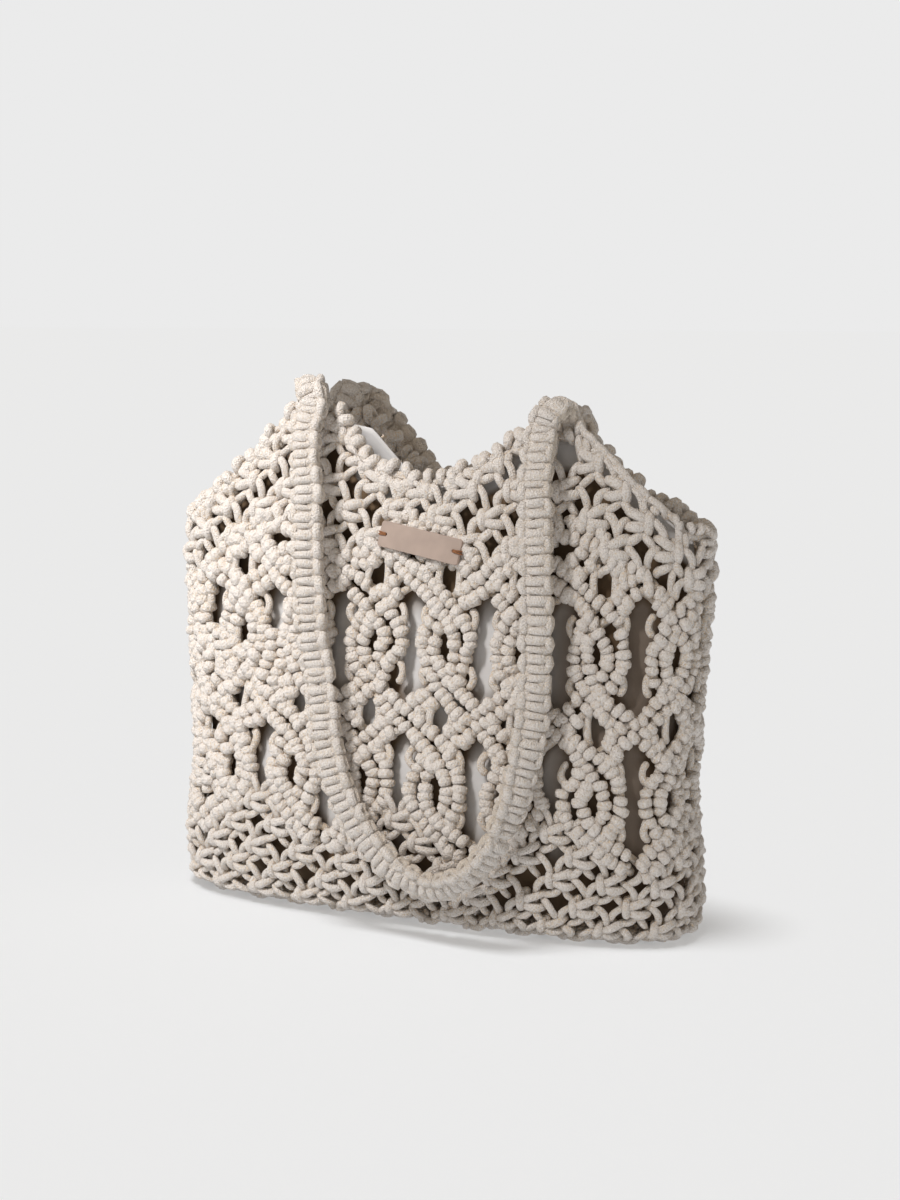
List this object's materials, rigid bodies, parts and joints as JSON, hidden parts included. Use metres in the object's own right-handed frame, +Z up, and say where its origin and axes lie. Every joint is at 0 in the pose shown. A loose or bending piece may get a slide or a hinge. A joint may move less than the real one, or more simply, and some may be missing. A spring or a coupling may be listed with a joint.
{
  "type": "macrame tote bag",
  "caption": "Soft shoulder tote of knotted cotton cord with a peaked rim, open top, cloth lining, flat knotted straps hanging front and back, and a plain leather label.",
  "frame": {"origin": "on the floor under the middle of the bag's outline", "axes": "+Z up, +X to the right seen from the front, the front face towards -Y"},
  "size_m": [0.3362, 0.1577, 0.3152],
  "materials": {
    "cotton_cord": "matte knotted cotton cord",
    "strap_cord": "matte knotted cotton cord",
    "lining_cloth": "matte plain woven cotton",
    "label_leather": "smooth matte leather, dusty pink tan"
  },
  "bodies": {
    "root": {"knotted_body": "cotton_cord", "lining": "lining_cloth", "front_strap": "strap_cord", "back_strap": "strap_cord", "leather_label": "label_leather"}
  },
  "joints": []
}
